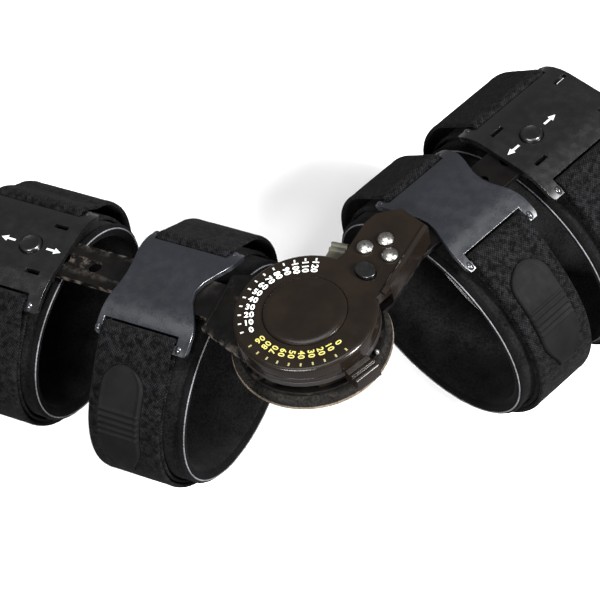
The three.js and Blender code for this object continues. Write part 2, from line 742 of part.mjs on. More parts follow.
for (const station of STATIONS) {
  const { group, visible } = arms[station.arm];
  const cuffPaint = station.outer ? outerPlastic : cuffPlastic;
  group.add(
    named(`${station.name}_cuff`, cuff(station), cuffPaint),
    named(`${station.name}_pad`, liningPad(station), padFabric),
    named(`${station.name}_strap`, strap(station, visible), webbing),
    named(`${station.name}_tab`, thumbTab(station, visible), tabRubber),
  );
  if (station.outer) {
    const button = named(`${station.arm}_button`, pushButton(), outerPlastic);
    button.position.x = BUTTON_AT;
    group.add(button);
  }
}

export default brace;
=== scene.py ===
# Looks of the elbow brace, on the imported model. Blender works in metres; the sizes here are millimetres.
import math

import bmesh
import bpy
from mathutils import Matrix, Vector, noise


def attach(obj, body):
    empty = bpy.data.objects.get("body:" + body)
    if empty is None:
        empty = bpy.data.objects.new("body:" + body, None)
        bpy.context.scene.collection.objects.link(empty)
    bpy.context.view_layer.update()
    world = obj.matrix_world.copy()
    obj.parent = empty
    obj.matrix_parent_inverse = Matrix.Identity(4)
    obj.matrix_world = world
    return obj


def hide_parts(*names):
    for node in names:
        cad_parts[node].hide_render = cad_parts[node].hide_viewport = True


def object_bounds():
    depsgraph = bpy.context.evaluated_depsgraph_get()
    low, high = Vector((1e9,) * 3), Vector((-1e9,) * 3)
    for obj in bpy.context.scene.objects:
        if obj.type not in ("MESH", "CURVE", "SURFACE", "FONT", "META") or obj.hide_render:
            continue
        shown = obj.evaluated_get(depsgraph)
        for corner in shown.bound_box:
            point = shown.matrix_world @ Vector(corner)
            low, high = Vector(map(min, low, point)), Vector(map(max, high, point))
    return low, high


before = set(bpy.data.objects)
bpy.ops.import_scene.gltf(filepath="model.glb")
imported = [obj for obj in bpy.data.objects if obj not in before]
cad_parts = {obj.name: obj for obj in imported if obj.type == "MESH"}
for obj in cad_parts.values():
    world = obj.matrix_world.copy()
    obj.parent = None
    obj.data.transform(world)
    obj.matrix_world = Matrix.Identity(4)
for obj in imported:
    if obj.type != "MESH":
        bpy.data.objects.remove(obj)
CAD_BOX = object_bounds()
MM = 0.001

# Camera: its place as seen from the middle of the dial's face, and the photograph's frame
PHOTO_SIDE = 600
CAMERA_AZIMUTH = 35.96
CAMERA_ELEVATION = 50.97
CAMERA_ROLL = -13.6
CAMERA_DISTANCE = 917.88
CAMERA_LENS = 132.2
CAMERA_SHIFT = (-4.94 / PHOTO_SIDE, 11.17 / PHOTO_SIDE)

# Pose and stack, as in the CAD model
ELBOW_ANGLE = 111.4
GAP = 0.3
HINGE_PAD_R = 34.5
HINGE_PAD_T = 6.4
DIAL_TOP = 22.8
DIAL_R = 31
BAR_TOP = 11.5
CUFF_Z = 11.8
PLATE_END = 44
CUFF_T = 2.6
CUFF_FLAT = 11
CUFF_BEND_R = 26
CUFF_REACH = 29.5
STRAP_BAR_W = 3.7
BUTTON_AT = 137
PAD_T = 6
SKIN_DROP = 0.9
STRAP_T = 2
PLY_GAP = 0.5
FAR_BOW = 4.5
OUTER_PAD = (120, 174)
OUTER_STRAP = (126, 170)

# Straps, in degrees round the loop from the middle of the cuff: where the line leaves the pad, its run round
# the pad, the ends of its outer layer on the tab's side and the far side, and where that layer bows out.
# The section gives places as shares of the width, and the thickness there as a share of STRAP_T.
STRAP_ON_PAD = 44
STRAP_ROUND = (52, 308)
NEAR_END = 150
FAR_END = 100
BOW_START = 20
BOW_SPAN = 70
STRAP_SECTION = [(0, 0.45), (0.03, 0.85), (0.06, 1.0), (0.1, 0.86), (0.2, 0.9), (0.35, 0.92), (0.5, 0.93),
                 (0.65, 0.92), (0.8, 0.9), (0.9, 0.86), (0.94, 1.0), (0.97, 0.85), (1, 0.45)]

# Thumb tab: distance below the strap bar, length, width and thickness; where its ribs start and end as
# shares of the length, their height, and the half waves of a sine whose crests are the ribs
TAB_START = 9
TAB_LONG = 54
TAB_W = 21
TAB_T = 1.6
RIBS = (0.37, 0.6)
RIB_H = 0.95
RIB_HALF_WAVES = 9

# Linings: rounding of the edge, and the cords along it: distance from the edge, height as a share of
# the pad, and half width along and outwards; then the points round the loop and round a cord
LINING_EDGE = 2.2
BINDING = {"inwards": 1.2, "height": 0.54, "half": (1.9, 2.9)}
THREAD = {"inwards": -0.55, "height": 0.72, "half": (0.3, 0.34)}
ROUND_LOOP = 150
CORD_SIDES = 10

# Hinge cushion: rounding of the rim, the piping's radius and height, and the points round the disc
CUSHION_EDGE = 3
PIPING_R = 0.6
PIPING_Z = 1.2
ROUND_CUSHION = 160

# Small details: the lip on the plate's end; the strap bars' ends, with their half sizes along the bar, along
# the cuff and outwards; and the arrows beside the push button
LIP_W = 1.4
LIP_H = 0.24
LIP_HALF = 13.5
SLOT_END_OUT = 2.2
SLOT_END_HALF = (1.75, 2.7, 2.15)
ARROW_AT = 11.7
ARROW_Z = (0.01, 0.12)

# Edges of the CAD model's hard nodes: width of the rounding, and the angle up to which they look smooth
SOFT_EDGE = 0.28
SMOOTH_ANGLE = 50

# Scales on the dial: numbers, first and last angle about the axis, and their distance from it; then the
# ticks' distance, size and height above the face, and the numbers' height, boldness and spacing
WHITE_SCALE = {"numbers": range(120, -1, -10), "first": 105.0, "last": 222.7, "radius": 23.7}
YELLOW_SCALE = {"numbers": range(90, -1, -10), "first": 239.7, "last": 333.2, "radius": 22.7}
TICK_R = 27.8
TICK = (1.5, 0.75)
TICK_Z = (0.01, 0.05)
NUMBER_H = 3.9
NUMBER_BOLD = 0.09
NUMBER_SPACING = 1.12

# Stage. Lights have their place, width and height in metres, and power in watts. The floor has half its
# side in metres, and its distance below the brace in millimetres.
LIGHTS = {
    "above": ((0.05, -0.05, 1.9), (1.3, 1.3), 27),
    "front": ((0.15, -1.25, 0.95), (0.9, 0.22), 44),
    "side": ((1.35, 0.05, 0.85), (0.22, 0.6), 85),
}
WORLD_STRENGTH = 0.22
FLOOR_HALF = 6.0
FLOOR_GAP = 4

# Arms: the turn about the hinge axis, and the side on which the tabs lie
ARMS = {"forearm": (180.0, 1), "upper": (180.0 - ELBOW_ANGLE, -1)}

# The brace's four loops, as in the CAD model: half sizes of the opening, and places along the bar
STATIONS = [
    {"name": "forearm_inner", "arm": "forearm", "body": "forearm", "half_w": 48.5, "half_h": 40,
     "pad": (43, 88), "strap": (51.5, 86.5), "tab_at": 71},
    {"name": "forearm_outer", "arm": "forearm", "body": "forearm_outer_set", "half_w": 43, "half_h": 36,
     "pad": OUTER_PAD, "strap": OUTER_STRAP, "tab_at": 148},
    {"name": "upper_inner", "arm": "upper", "body": "upper_arm", "half_w": 51.5, "half_h": 47,
     "pad": (64, 105), "strap": (71, 103.5), "tab_at": 87},
    {"name": "upper_outer", "arm": "upper", "body": "upper_outer_set", "half_w": 53, "half_h": 49,
     "pad": OUTER_PAD, "strap": OUTER_STRAP, "tab_at": 148},
]


# Shapes
def steps(start, end, count):
    return [start + (end - start) * i / count for i in range(count + 1)]


def smooth(x, low, high):
    t = min(max((x - low) / (high - low), 0.0), 1.0)
    return t * t * (3 - 2 * t)


def saddle_point(q, lift):
    """Point of the cuff's underside at distance q from its middle, and lift above it, as y and z."""
    a = max(abs(q) - CUFF_FLAT, 0) / CUFF_BEND_R
    r = CUFF_BEND_R + lift
    y = min(abs(q), CUFF_FLAT) + r * math.sin(a)
    return Vector((math.copysign(y, q), CUFF_Z + lift - r * (1 - math.cos(a))))


def loop_point(station, phi, lift):
    """Point round a loop at lift outside its opening, as y and z."""
    return Vector((
        (station["half_w"] + lift) * math.sin(phi),
        SKIN_DROP - station["half_h"] + (station["half_h"] + lift) * math.cos(phi),
    ))


def loft(rings, round_trip=False):
    """Points and faces of a skin over rings with equal numbers of points."""
    n = len(rings[0])
    count = len(rings)
    faces = []
    for i in range(count if round_trip else count - 1):
        a = i * n
        b = (i + 1) % count * n
        faces += [(a + j, a + (j + 1) % n, b + (j + 1) % n, b + j) for j in range(n)]
    if not round_trip:
        faces += [tuple(range(n)), tuple(range((count - 1) * n, count * n))]
    return [p for ring in rings for p in ring], faces


def make_piece(name, points, faces, body, turn=0.0, uvs=None):
    """Closed mesh from points in millimetres, turned about the hinge axis, smooth shaded, on a body."""
    mesh = bpy.data.meshes.new(name)
    move = Matrix.Rotation(math.radians(turn), 4, "Z") @ Matrix.Scale(MM, 4)
    mesh.from_pydata([move @ Vector(p) for p in points], [], faces)
    bm = bmesh.new()
    bm.from_mesh(mesh)
    bmesh.ops.recalc_face_normals(bm, faces=bm.faces)
    bm.to_mesh(mesh)
    bm.free()
    mesh.shade_smooth()
    if uvs:
        layer = mesh.uv_layers.new(name="UVMap")
        for loop in mesh.loops:
            layer.data[loop.index].uv = uvs[loop.vertex_index]
    obj = bpy.data.objects.new(name, mesh)
    bpy.context.scene.collection.objects.link(obj)
    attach(obj, body)
    return obj


def finish_piece(obj, material, replaced=()):
    obj.data.materials.append(material)
    if replaced:
        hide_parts(*replaced)


# Materials
class Paint:
    """A material whose node tree is built step by step on one Principled shader."""

    def __init__(self, name, roughness, metallic=0.0, coat=0.0, sheen=0.0, specular=0.5):
        self.material = bpy.data.materials.new(name)
        self.material.use_nodes = True
        self.tree = self.material.node_tree
        self.shader = self.tree.nodes["Principled BSDF"]
        self.shader.inputs["Roughness"].default_value = roughness
        self.shader.inputs["Metallic"].default_value = metallic
        self.shader.inputs["Coat Weight"].default_value = coat
        self.shader.inputs["Coat Roughness"].default_value = 0.12
        self.shader.inputs["Specular IOR Level"].default_value = specular
        self.shader.inputs["Sheen Weight"].default_value = sheen
        self.shader.inputs["Sheen Roughness"].default_value = 0.5
        self.normal = None

    def node(self, kind, **values):
        made = self.tree.nodes.new(kind)
        for key, value in values.items():
            setattr(made, key, value)
        return made

    def link(self, source, target):
        self.tree.links.new(source, target)

    def place(self, kind="Object", scale=(1, 1, 1)):
        coords = self.node("ShaderNodeTexCoord")
        mapping = self.node("ShaderNodeMapping")
        mapping.inputs["Scale"].default_value = scale
        self.link(coords.outputs[kind], mapping.inputs["Vector"])
        return mapping.outputs["Vector"]

    def noise(self, scale, detail, roughness=0.55):
        made = self.node("ShaderNodeTexNoise")
        made.inputs["Scale"].default_value = scale
        made.inputs["Detail"].default_value = detail
        made.inputs["Roughness"].default_value = roughness
        self.link(self.place(), made.inputs["Vector"])
        return made.outputs["Fac"]

    def ranged(self, value, low, high, to_low, to_high):
        made = self.node("ShaderNodeMapRange")
        for key, number in zip(("From Min", "From Max", "To Min", "To Max"), (low, high, to_low, to_high)):
            made.inputs[key].default_value = number
        self.link(value, made.inputs["Value"])
        return made.outputs["Result"]

    def math(self, operation, *values):
        made = self.node("ShaderNodeMath", operation=operation)
        for socket, value in zip(made.inputs, values):
            if isinstance(value, (int, float)):
                socket.default_value = value
            else:
                self.link(value, socket)
        return made.outputs["Value"]

    def mix(self, factor, dark, light):
        made = self.node("ShaderNodeMix", data_type="RGBA")
        self.link(factor, made.inputs["Factor"])
        for index, value in ((6, dark), (7, light)):
            if isinstance(value, tuple):
                made.inputs[index].default_value = (*value, 1)
            else:
                self.link(value, made.inputs[index])
        return made.outputs[2]

    def color(self, value):
        self.link(value, self.shader.inputs["Base Color"])

    def rough(self, value):
        self.link(value, self.shader.inputs["Roughness"])

    def bump(self, height, distance, strength=1.0):
        made = self.node("ShaderNodeBump")
        made.inputs["Strength"].default_value = strength
        made.inputs["Distance"].default_value = distance * MM
        self.link(height, made.inputs["Height"])
        if self.normal:
            self.link(self.normal, made.inputs["Normal"])
        self.normal = made.outputs["Normal"]
        self.link(self.normal, self.shader.inputs["Normal"])


def srgb(r, g, b):
    """Linear colour of an 8-bit screen colour."""
    def one(c):
        c /= 255
        return c / 12.92 if c <= 0.04045 else ((c + 0.055) / 1.055) ** 2.4
    return one(r), one(g), one(b)


def hard_plastic(name, dark, light, rough, grain, coat=0.0, specular=0.35):
    """Plastic or rubber with faint clouds, uneven gloss and a fine grain, whose depth is in millimetres."""
    p = Paint(name, rough, coat=coat, specular=specular)
    cloud = p.noise(60, 3)
    p.color(p.mix(p.ranged(cloud, 0.35, 0.65, 0, 1), srgb(*dark), srgb(*light)))
    p.rough(p.ranged(p.noise(220, 5), 0.3, 0.7, rough - 0.06, rough + 0.08))
    p.bump(p.noise(2600, 2), grain)
    return p.material


def painted_steel():
    """Black paint, worn to grey in spots along the edges."""
    p = Paint("bar_paint", 0.34, specular=0.2)
    wear = p.node("ShaderNodeNewGeometry").outputs["Pointiness"]
    spots = p.ranged(p.noise(300, 4), 0.45, 0.65, 0, 1)
    edge = p.math("MULTIPLY", p.ranged(wear, 0.54, 0.64, 0, 0.6), spots)
    base = p.mix(p.ranged(p.noise(70, 3), 0.4, 0.6, 0, 1), srgb(3, 2, 2), srgb(6, 5, 4))
    p.color(p.mix(edge, base, srgb(104, 96, 88)))
    p.rough(p.ranged(p.noise(160, 5), 0.3, 0.7, 0.3, 0.44))
    p.bump(p.noise(1500, 3), 0.03)
    return p.material


def stop_plastic():
    """The stop's disc is black between the other plates, and its grip past the rim is grey olive."""
    p = Paint("grip_olive", 0.42)
    reach = p.node("ShaderNodeVectorMath", operation="LENGTH")
    p.link(p.place(scale=(1, 1, 0)), reach.inputs[0])
    rim = DIAL_R + 1
    grip = p.ranged(reach.outputs["Value"], (rim - 0.1) * MM, (rim + 0.1) * MM, 0, 1)
    olive = p.mix(p.ranged(p.noise(150, 4), 0.4, 0.6, 0, 1), srgb(52, 51, 42), srgb(66, 64, 53))
    p.color(p.mix(grip, srgb(22, 19, 17), olive))
    p.rough(p.ranged(p.noise(220, 5), 0.3, 0.7, 0.34, 0.5))
    p.bump(p.noise(2000, 2), 0.04)
    return p.material


def bright_steel():
    p = Paint("bright_steel", 0.28, metallic=1.0)
    p.color(p.mix(p.noise(500, 4), srgb(120, 118, 114), srgb(190, 188, 184)))
    p.rough(p.ranged(p.noise(900, 4), 0.3, 0.7, 0.2, 0.42))
    p.bump(p.noise(1800, 3), 0.02)
    return p.material


def webbing():
    """Hook-and-loop webbing: a fine twill with fuzz. Its map runs in centimetres, across and along."""
    p = Paint("webbing", 0.95, sheen=0.01, specular=0.05)
    parts = p.node("ShaderNodeSeparateXYZ")
    p.link(p.place("UV"), parts.inputs["Vector"])
    across = p.math("SINE", p.math("MULTIPLY", parts.outputs["X"], 52.0))
    along = p.math("SINE", p.math("MULTIPLY", parts.outputs["Y"], 44.0))
    weave = p.math("MULTIPLY", across, along)
    fuzz = p.noise(1400, 5, 0.7)
    blotch = p.ranged(p.noise(420, 4, 0.7), 0.4, 0.62, 0, 1)
    shade = p.ranged(p.math("ADD", weave, p.math("MULTIPLY", fuzz, 2.0)), 0.0, 2.0, 0, 1)
    p.color(p.mix(p.math("MULTIPLY", shade, blotch), srgb(2, 2, 2), srgb(31, 31, 33)))
    p.bump(weave, 0.12, 0.8)
    p.bump(fuzz, 0.25, 0.7)
    return p.material


def pad_fabric(name, dark, light):
    """Brushed knit over foam: small loops and a soft nap."""
    p = Paint(name, 0.97, sheen=0.01, specular=0.05)
    cells = p.node("ShaderNodeTexVoronoi")
    cells.inputs["Scale"].default_value = 1100
    p.link(p.place(), cells.inputs["Vector"])
    loops = cells.outputs["Distance"]
    nap = p.noise(900, 6, 0.7)
    cloud = p.noise(70, 3)
    shade = p.math("ADD", p.math("MULTIPLY", nap, 0.7), p.math("MULTIPLY", cloud, 0.5))
    p.color(p.mix(p.ranged(shade, 0.48, 0.74, 0, 1), srgb(*dark), srgb(*light)))
    p.bump(loops, 0.25, 0.6)
    p.bump(nap, 0.35, 0.7)
    return p.material


def printed(name, color):
    p = Paint(name, 0.5)
    full = srgb(*color)
    p.color(p.mix(p.noise(900, 3), tuple(c * 0.8 for c in full), full))
    p.bump(p.noise(2500, 2), 0.01)
    return p.material


def make_materials():
    return {
        "gloss_black": hard_plastic("gloss_black", (17, 13, 10), (22, 17, 13), 0.2, 0.004, specular=0.24),
        "bar_paint": painted_steel(),
        "cuff_plastic": hard_plastic("cuff_plastic", (17, 19, 23), (20, 22, 27), 0.27, 0.01, specular=0.85),
        "outer_plastic": hard_plastic("outer_plastic", (6, 6, 7), (10, 10, 11), 0.25, 0.008, specular=0.7),
        "bright_steel": bright_steel(),
        "webbing": webbing(),
        "pad_fabric": pad_fabric("pad_fabric", (2, 2, 2), (20, 20, 21)),
        "hinge_fabric": pad_fabric("hinge_fabric", (3, 3, 3), (34, 32, 30)),
        "tab_rubber": hard_plastic("tab_rubber", (7, 7, 7), (13, 13, 14), 0.72, 0.08, specular=0.08),
        "grip_olive": stop_plastic(),
        "binding": pad_fabric("binding", (2, 2, 2), (10, 10, 11)),
        "light_thread": pad_fabric("light_thread", (70, 70, 73), (118, 118, 122)),
        "slot_gloss": hard_plastic("slot_gloss", (26, 27, 30), (38, 39, 43), 0.16, 0.01, coat=0.6),
        "tan_piping": pad_fabric("tan_piping", (62, 54, 47), (112, 100, 86)),
        "print_white": printed("print_white", (232, 236, 230)),
        "print_yellow": printed("print_yellow", (168, 160, 84)),
        "tick_white": printed("tick_white", (168, 170, 166)),
        "tick_yellow": printed("tick_yellow", (132, 126, 82)),
        "print_silver": printed("print_silver", (190, 194, 194)),
    }


def rounded_normals():
    """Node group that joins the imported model's split corners and shades it smooth up to an angle."""
    group = bpy.data.node_groups.new("rounded_normals", "GeometryNodeTree")
    group.interface.new_socket("Geometry", in_out="INPUT", socket_type="NodeSocketGeometry")
    group.interface.new_socket("Geometry", in_out="OUTPUT", socket_type="NodeSocketGeometry")
    nodes = group.nodes
    start = nodes.new("NodeGroupInput")
    end = nodes.new("NodeGroupOutput")
    merge = nodes.new("GeometryNodeMergeByDistance")
    merge.inputs["Distance"].default_value = 0.002 * MM
    drop = nodes.new("GeometryNodeRemoveAttribute")
    drop.inputs["Name"].default_value = "custom_normal"
    faces = nodes.new("GeometryNodeSetShadeSmooth")
    edges = nodes.new("GeometryNodeSetShadeSmooth")
    edges.domain = "EDGE"
    angle = nodes.new("GeometryNodeInputMeshEdgeAngle")
    below = nodes.new("FunctionNodeCompare")
    below.operation = "LESS_THAN"
    below.inputs["B"].default_value = math.radians(SMOOTH_ANGLE)
    links = group.links
    links.new(start.outputs[0], merge.inputs["Geometry"])
    links.new(merge.outputs["Geometry"], drop.inputs["Geometry"])
    links.new(drop.outputs["Geometry"], faces.inputs["Geometry"])
    links.new(faces.outputs["Geometry"], edges.inputs["Geometry"])
    links.new(angle.outputs["Unsigned Angle"], below.inputs["A"])
    links.new(below.outputs["Result"], edges.inputs["Shade Smooth"])
    links.new(edges.outputs["Geometry"], end.inputs[0])
    return group


def dress_hard_nodes(materials, replaced):
    """Gives each CAD node that stays its material, smooth shading and softened edges."""
    group = rounded_normals()
    for name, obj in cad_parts.items():
        if name in replaced:
            continue
        slot = obj.data.materials[0].name
        for holder in obj.material_slots:
            holder.link = "OBJECT"
            holder.material = materials[slot]
        shade = obj.modifiers.new("rounded_normals", "NODES")
        shade.node_group = group
        bevel = obj.modifiers.new("soft_edges", "BEVEL")
        bevel.width = SOFT_EDGE * MM
        bevel.segments = 2
        bevel.angle_limit = math.radians(SMOOTH_ANGLE)
        even = obj.modifiers.new("flat_faces", "WEIGHTED_NORMAL")
        even.weight = 100
        even.keep_sharp = True


# Soft pieces
def pad_lift(lift, t):
    """Lift of a point of the lining, less towards the edges; t runs from edge to edge."""
    return lift * (1 - 0.16 * abs(2 * t - 1) ** 5)


def lining(station, materials):
    """Padded band inside a loop, rounded along both edges and slightly creased."""
    start, end = station["pad"]
    edge = LINING_EDGE
    half = PAD_T / 2
    flat = steps(start + edge, end - edge, 14)
    bend = steps(0, math.pi, 8)[1:-1]
    round_end = [(end - edge + edge * math.sin(a), half - half * math.cos(a)) for a in bend]
    round_start = [(start + edge - edge * math.sin(a), half + half * math.cos(a)) for a in bend]
    section = [(x, 0.0) for x in flat] + round_end + [(x, PAD_T) for x in reversed(flat)] + round_start
    rings = []
    for phi in steps(0, 2 * math.pi, ROUND_LOOP)[:-1]:
        ring = []
        for x, lift in section:
            t = (x - start) / (end - start)
            crease = noise.noise(Vector((x * 0.09, phi * 9, 3.0 + start)))
            full = pad_lift(lift, t) - 0.35 * lift / PAD_T * max(crease, 0)
            y, z = loop_point(station, phi, full)
            ring.append((x, y, z))
        rings.append(ring)
    points, faces = loft(rings, round_trip=True)
    name = station["name"]
    pad = make_piece(f"{name}_lining", points, faces, station["body"], ARMS[station["arm"]][0])
    finish_piece(pad, materials["pad_fabric"], (f"{name}_pad",))


def ring_cord(name, station, at, lift, half, material):
    """Cord round a loop, at the place at along the bar; half is its half width along and outwards."""
    wide, deep = half
    rings = []
    for phi in steps(0, 2 * math.pi, ROUND_LOOP)[:-1]:
        ring = []
        for a in steps(0, 2 * math.pi, CORD_SIDES)[:-1]:
            ripple = 1 + 0.07 * noise.noise(Vector((phi * 30, a, at)))
            y, z = loop_point(station, phi, lift + deep * ripple * math.sin(a))
            ring.append((at + wide * ripple * math.cos(a), y, z))
        rings.append(ring)
    points, faces = loft(rings, round_trip=True)
    obj = make_piece(name, points, faces, station["body"], ARMS[station["arm"]][0])
    finish_piece(obj, material)


def binding(station, side, materials):
    """Bound edge of the lining: a tape folded round one edge, with a light thread along it."""
    inward = 1 if side == 0 else -1
    at = station["pad"][side]
    name = f"{station['name']}_{'inner' if side == 0 else 'outer'}"
    for part, cord, material in (("binding", BINDING, "binding"), ("thread", THREAD, "light_thread")):
        spot = at + inward * cord["inwards"]
        lift = PAD_T * cord["height"]
        ring_cord(f"{name}_{part}", station, spot, lift, cord["half"], materials[material])


def slot_ends(station, materials):
    """Rounded glossy ends of the strap bars, at the corners of the cuff."""
    points = []
    faces = []
    start, end = station["strap"]
    long, wide, high = SLOT_END_HALF
    q = CUFF_REACH - STRAP_BAR_W * 0.62
    a = (q - CUFF_FLAT) / CUFF_BEND_R
    for side in (-1, 1):
        middle = saddle_point(side * q, CUFF_T / 2)
        out = Vector((side * math.sin(a), math.cos(a)))
        along = Vector((side * math.cos(a), -math.sin(a)))
        for x in (start - SLOT_END_OUT, end + SLOT_END_OUT):
            base = len(points)
            rings = []
            for u in steps(0.08, math.pi - 0.08, 10):
                ring = []
                for v in steps(0, 2 * math.pi, 16)[:-1]:
                    p = middle + along * wide * math.sin(u) * math.cos(v)
                    p += out * high * math.sin(u) * math.sin(v)
                    ring.append((x - long * math.cos(u), p.x, p.y))
                rings.append(ring)
            more, quads = loft(rings)
            points += more
            faces += [tuple(base + k for k in f) for f in quads]
    name = f"{station['name']}_slot_ends"
    obj = make_piece(name, points, faces, station["body"], ARMS[station["arm"]][0])
    finish_piece(obj, materials["slot_gloss"])


def outer_layer(station, phi_end, bow):
    """Middle line of a strap's outer layer, as in the CAD model: from the strap bar down, standing out by
    bow on its way."""
    on_ply = PAD_T + GAP + STRAP_T / 2 + STRAP_T + PLY_GAP
    first = math.radians(40 if bow > 0 else 50)
    count = max(round((phi_end - first) / math.radians(9)), 2)
    line = [saddle_point(CUFF_REACH + 0.6, CUFF_T + GAP + STRAP_T / 2)]
    for phi in steps(first, phi_end, count):
        share = min(max((phi - math.radians(BOW_START)) / math.radians(BOW_SPAN), 0), 1)
        line.append(loop_point(station, phi, on_ply + bow * math.sin(math.pi * share)))
    return line


def strap_side(station, side, phi_end, bow):
    """Middle line of a strap on one side: from the pad under the slot, round the strap bar and down."""
    half = STRAP_T / 2
    turn_at = CUFF_REACH - STRAP_BAR_W + 0.4
    radius = CUFF_T / 2 + GAP + half
    a = (turn_at - CUFF_FLAT) / CUFF_BEND_R
    centre = saddle_point(turn_at, CUFF_T / 2)
    under = Vector((-math.sin(a), -math.cos(a)))
    inward = Vector((-math.cos(a), math.sin(a)))
    turn = [centre + radius * (under * math.cos(w) + inward * math.sin(w)) for w in steps(0, math.pi, 6)]
    start = loop_point(station, math.radians(STRAP_ON_PAD), PAD_T + GAP + half)
    below = saddle_point(CUFF_REACH, -GAP - half)
    return [Vector((side * p.x, p.y)) for p in [start, below, *turn, *outer_layer(station, phi_end, bow)]]


def strap_line(station):
    """Middle line of a whole strap: down one side under the tab, round the pad, and up the far side."""
    visible = ARMS[station["arm"]][1]
    on_pad = PAD_T + GAP + STRAP_T / 2
    near = strap_side(station, visible, math.radians(NEAR_END), 0)[::-1]
    far = strap_side(station, -visible, math.radians(FAR_END), FAR_BOW)
    first, last = (math.radians(a) for a in STRAP_ROUND)
    around = [loop_point(station, phi, on_pad) for phi in steps(first, last, 26)]
    return near + [Vector((visible * p.x, p.y)) for p in around] + far


def smooth_line(line, step):
    """The same line with rounded corners and even steps."""
    fine = []
    for i in range(len(line) - 1):
        before = line[max(i - 1, 0)]
        after = line[min(i + 2, len(line) - 1)]
        a, b = line[i], line[i + 1]
        for k in range(8):
            t = k / 8
            fine.append(0.5 * (2 * a + (b - before) * t + (2 * before - 5 * a + 4 * b - after) * t * t
                               + (3 * a - before - 3 * b + after) * t ** 3))
    fine.append(line[-1])
    even = [fine[0]]
    gone = 0.0
    for a, b in zip(fine, fine[1:]):
        gone += (b - a).length
        if gone >= step:
            even.append(b)
            gone = 0.0
    return even


def strap(station, materials):
    """Webbing strap: thin in the middle, with a firm woven edge."""
    start, end = station["strap"]
    line = smooth_line(strap_line(station), 2.2)
    half = STRAP_T / 2
    rings = []
    uvs = []
    run = 0.0
    for i, p in enumerate(line):
        before = line[max(i - 1, 0)]
        after = line[min(i + 1, len(line) - 1)]
        run += (p - before).length
        along = (after - before).normalized()
        normal = Vector((-along.y, along.x))
        ring = []
        for sign in (1, -1):
            for t, share in STRAP_SECTION[::sign]:
                x = start + (end - start) * t
                ripple = 0.05 * noise.noise(Vector((x * 0.3, run * 0.12, start)))
                q = p + normal * sign * (half * share + ripple * share)
                ring.append((x, q.x, q.y))
                uvs.append((x / 10, run / 10))
        rings.append(ring)
    points, faces = loft(rings)
    name = station["name"]
    obj = make_piece(f"{name}_webbing", points, faces, station["body"], ARMS[station["arm"]][0], uvs)
    finish_piece(obj, materials["webbing"], (f"{name}_strap",))


def thumb_tab(station, materials):
    """Moulded tab that follows the strap: a round head with a raised rim, five ribs, a tapered end."""
    visible = ARMS[station["arm"]][1]
    last = math.radians(NEAR_END)
    line = smooth_line(strap_side(station, 1, last, 0), 0.5)
    above = outer_layer(station, last, 0)[0]
    first = min(range(len(line)), key=lambda i: (line[i] - above).length)
    marks = [0.0]
    for a, b in zip(line[first:], line[first + 1:]):
        marks.append(marks[-1] + (b - a).length)
    rows = [0, 0.004, 0.012, 0.025, 0.045] + steps(0.07, 0.955, 90) + [0.97, 0.982, 0.992, 1]
    columns = steps(-1, 1, 28)

    def half_width(u):
        head = math.sqrt(max(1 - ((0.2 - min(u, 0.2)) / 0.2) ** 2, 0))
        taper = 1 - 0.55 * smooth(u, 0.7, 1)
        return TAB_W / 2 * max(head * taper, 0.12)

    def height(u, v):
        border = 1 - abs(v)
        edge = smooth(border, 0.0, 0.07)
        rim = 0.74 + 0.26 * (1 - smooth(border, 0.13, 0.22))
        ends = smooth(u, 0.0, 0.03) * smooth(1 - u, 0.0, 0.04)
        rib = 0.0
        if RIBS[0] < u < RIBS[1]:
            wave = math.sin((u - RIBS[0]) / (RIBS[1] - RIBS[0]) * math.pi * RIB_HALF_WAVES)
            rib = RIB_H * max(wave, 0) * smooth(1 - abs(v), 0.02, 0.1)
        return TAB_T * (0.3 + 0.7 * edge * rim * ends) + rib

    def at(u, v, out):
        s = TAB_START + TAB_LONG * u
        i = min(max(next(k for k, m in enumerate(marks) if m >= s), 1), len(marks) - 2)
        a, b = line[first + i - 1], line[first + i + 1]
        along = (b - a).normalized()
        spot = line[first + i] + along * (s - marks[i]) + Vector((-along.y, along.x)) * out
        return (station["tab_at"] + v * half_width(u), visible * spot.x, spot.y)

    under = STRAP_T / 2 + GAP
    rings = []
    for u in rows:
        top = [at(u, v, under + height(u, v)) for v in columns]
        low = [at(u, v, under) for v in reversed(columns)]
        rings.append(top + low)
    points, faces = loft(rings)
    name = station["name"]
    obj = make_piece(f"{name}_thumb_tab", points, faces, station["body"], ARMS[station["arm"]][0])
    finish_piece(obj, materials["tab_rubber"], (f"{name}_tab",))


def hinge_cushion(materials):
    """Fabric disc under the hinge, with a rounded and slightly puckered rim."""
    half = HINGE_PAD_T / 2
    inside = steps(1, HINGE_PAD_R - CUSHION_EDGE - 1, 14)
    rim = [(HINGE_PAD_R - CUSHION_EDGE + CUSHION_EDGE * math.sin(a), half - half * math.cos(a))
           for a in steps(0, math.pi, 12)]
    section = [(r, 0.0) for r in inside] + rim + [(r, HINGE_PAD_T - 0.1) for r in reversed(inside)]
    rings = []
    for r, z in section:
        ring = []
        for a in steps(0, 2 * math.pi, ROUND_CUSHION)[:-1]:
            pucker = 0.14 * noise.noise(Vector((math.cos(a) * 6, math.sin(a) * 6, r * 0.2)))
            ring.append(((r + pucker) * math.cos(a), (r + pucker) * math.sin(a), min(z, HINGE_PAD_T)))
        rings.append(ring)
    points, faces = loft(rings)
    obj = make_piece("hinge_cushion", points, faces, "upper_arm")
    finish_piece(obj, materials["hinge_fabric"], ("hinge_pad",))


